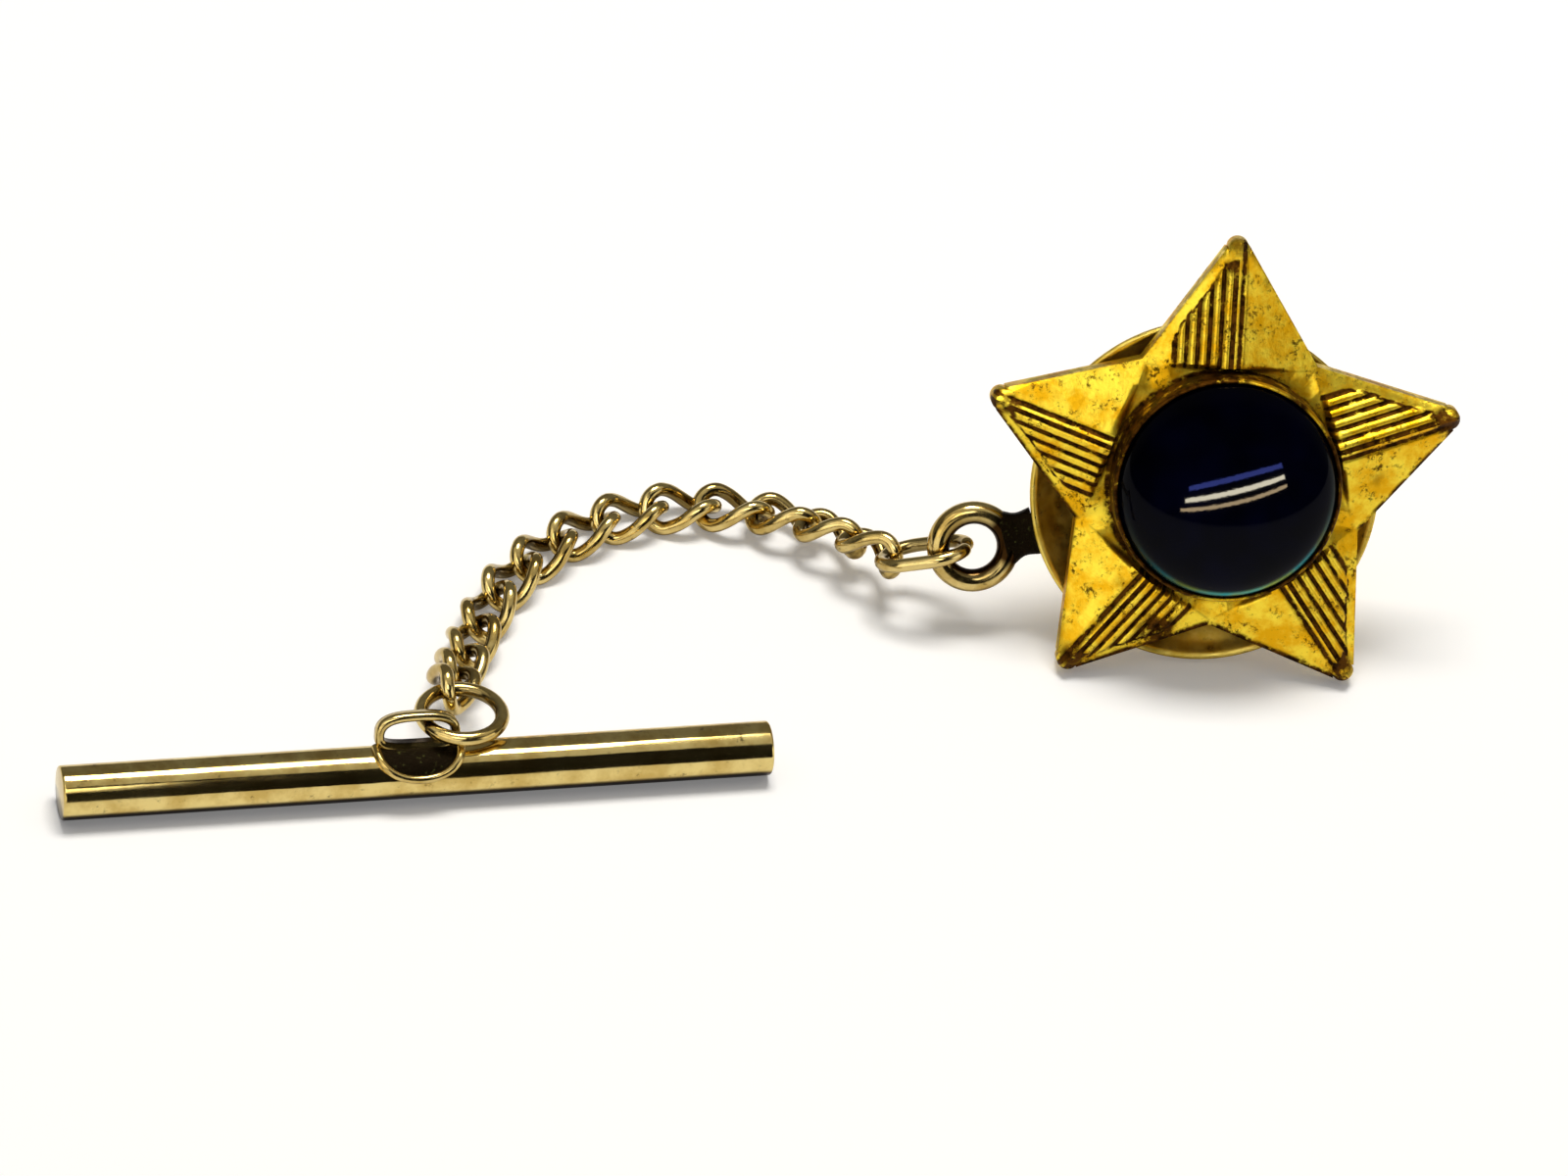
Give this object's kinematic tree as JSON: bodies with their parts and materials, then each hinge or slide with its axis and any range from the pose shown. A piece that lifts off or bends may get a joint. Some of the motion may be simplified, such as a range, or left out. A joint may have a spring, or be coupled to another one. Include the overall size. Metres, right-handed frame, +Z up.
{
  "type": "tie tack",
  "caption": "Star-shaped tie tack with a domed dark stone, a ball clutch behind it, and a curb chain to a toggle bar that goes through a shirt buttonhole.",
  "frame": {"origin": "on the table, under the middle of the object's bounding box as it lies", "axes": "+Z up from the table, +X from the toggle bar's side to the star's side, the star faces -Y and up"},
  "size_m": [0.0436, 0.0184, 0.0129],
  "materials": {
    "antique_gold": "antiqued gold plate",
    "pale_gold": "polished gold plate",
    "steel": "plain spring steel",
    "navy_glass": "glossy, almost black"
  },
  "bodies": {
    "clutch": {"clutch_barrel": "pale_gold", "clutch_spring": "steel"},
    "head": {"star_body": "antique_gold", "bezel_cup": "antique_gold", "cabochon": "navy_glass", "tack_post": "pale_gold"},
    "cap": {"clutch_cap": "pale_gold", "ball_cage": "steel", "lock_ball_1": "steel", "lock_ball_2": "steel", "lock_ball_3": "steel"},
    "plate": {"clutch_plate": "pale_gold", "chain_loop": "pale_gold"},
    "end_link": {"end_link": "pale_gold"},
    "chain_link_01": {"chain_link_01": "pale_gold"},
    "chain_link_02": {"chain_link_02": "pale_gold"},
    "chain_link_03": {"chain_link_03": "pale_gold"},
    "chain_link_04": {"chain_link_04": "pale_gold"},
    "chain_link_05": {"chain_link_05": "pale_gold"},
    "chain_link_06": {"chain_link_06": "pale_gold"},
    "chain_link_07": {"chain_link_07": "pale_gold"},
    "chain_link_08": {"chain_link_08": "pale_gold"},
    "chain_link_09": {"chain_link_09": "pale_gold"},
    "chain_link_10": {"chain_link_10": "pale_gold"},
    "chain_link_11": {"chain_link_11": "pale_gold"},
    "chain_link_12": {"chain_link_12": "pale_gold"},
    "chain_link_13": {"chain_link_13": "pale_gold"},
    "end_ring": {"end_ring": "pale_gold"},
    "bar": {"toggle_bar": "pale_gold", "bar_eye": "pale_gold"}
  },
  "joints": [
    {"name": "tack_pull", "type": "slide", "parent": "clutch", "child": "head", "axis": [0, -0.8988, 0.4384], "range_m": [0, 0.006]},
    {"name": "cap_release", "type": "slide", "parent": "clutch", "child": "cap", "axis": [0, 0.8988, -0.4384], "range_m": [0, 0.00055], "stiffness_N_per_m": 100, "springref_m": -0.0005, "deforming": ["clutch_spring"]},
    {"name": "clutch_spin", "type": "hinge", "parent": "clutch", "child": "plate", "pos_m": [0.01401, 0.00295, 0.0052], "axis": [0, 0.8988, -0.4384], "continuous": true},
    {"name": "end_link_swing", "type": "hinge", "parent": "plate", "child": "end_link", "pos_m": [0.00693, 0.00257, 0.00286], "axis": [0, 0.8988, -0.4384], "range_deg": [-40, 40]},
    {"name": "link_01_swing", "type": "hinge", "parent": "end_link", "child": "chain_link_01", "pos_m": [0.00422, 0.00312, 0.00171], "axis": [-0.3454, -0.883, 0.3179], "range_deg": [-40, 22]},
    {"name": "link_02_swing", "type": "hinge", "parent": "chain_link_01", "child": "chain_link_02", "pos_m": [0.00361, 0.00416, 0.00143], "axis": [-0.2364, 0.0393, 0.9709], "range_deg": [-40, 25]},
    {"name": "link_03_swing", "type": "hinge", "parent": "chain_link_02", "child": "chain_link_03", "pos_m": [0.00192, 0.00557, 0.00096], "axis": [0.6186, 0.7766, 0.1192], "range_deg": [-40, 37]},
    {"name": "link_04_swing", "type": "hinge", "parent": "chain_link_03", "child": "chain_link_04", "pos_m": [0.00087, 0.00613, 0.00077], "axis": [0.1522, 0.5262, -0.8366], "range_deg": [-19, 40]},
    {"name": "link_05_swing", "type": "hinge", "parent": "chain_link_04", "child": "chain_link_05", "pos_m": [-0.00133, 0.00652, 0.00061], "axis": [-0.1082, -0.8325, -0.5433], "range_deg": [-37, 40]},
    {"name": "link_06_swing", "type": "hinge", "parent": "chain_link_05", "child": "chain_link_06", "pos_m": [-0.00253, 0.00634, 0.00063], "axis": [0.2763, -0.6509, 0.7071], "range_deg": [-40, 40]},
    {"name": "link_07_swing", "type": "hinge", "parent": "chain_link_06", "child": "chain_link_07", "pos_m": [-0.00459, 0.00546, 0.00063], "axis": [-0.2763, 0.6509, 0.7071], "range_deg": [-40, 40]},
    {"name": "link_08_swing", "type": "hinge", "parent": "chain_link_07", "child": "chain_link_08", "pos_m": [-0.00557, 0.00477, 0.00063], "axis": [-0.5086, 0.4912, -0.7071], "range_deg": [-40, 40]},
    {"name": "link_09_swing", "type": "hinge", "parent": "chain_link_08", "child": "chain_link_09", "pos_m": [-0.00713, 0.00316, 0.00063], "axis": [0.5086, -0.4912, -0.7071], "range_deg": [-40, 40]},
    {"name": "link_10_swing", "type": "hinge", "parent": "chain_link_09", "child": "chain_link_10", "pos_m": [-0.00778, 0.00215, 0.00063], "axis": [0.6556, -0.2649, 0.7071], "range_deg": [-40, 40]},
    {"name": "link_11_swing", "type": "hinge", "parent": "chain_link_10", "child": "chain_link_11", "pos_m": [-0.00862, 0.00007, 0.00063], "axis": [-0.6556, 0.2649, 0.7071], "range_deg": [-40, 40]},
    {"name": "link_12_swing", "type": "hinge", "parent": "chain_link_11", "child": "chain_link_12", "pos_m": [-0.00896, -0.00106, 0.00079], "axis": [-0.8918, 0.0728, -0.4465], "range_deg": [-40, 40]},
    {"name": "link_13_swing", "type": "hinge", "parent": "chain_link_12", "child": "chain_link_13", "pos_m": [-0.00947, -0.00313, 0.00148], "axis": [0.3895, -0.3783, -0.8397], "range_deg": [-40, 40]},
    {"name": "end_ring_swing", "type": "hinge", "parent": "chain_link_13", "child": "end_ring", "pos_m": [-0.00964, -0.00418, 0.00199], "axis": [-0.9712, -0.2383, 0.0066], "range_deg": [-40, 40]},
    {"name": "bar_swing", "type": "hinge", "parent": "end_ring", "child": "bar", "pos_m": [-0.01027, -0.00616, 0.00213], "axis": [-0.0523, 0.338, 0.9397], "range_deg": [-4, 40]}
  ]
}
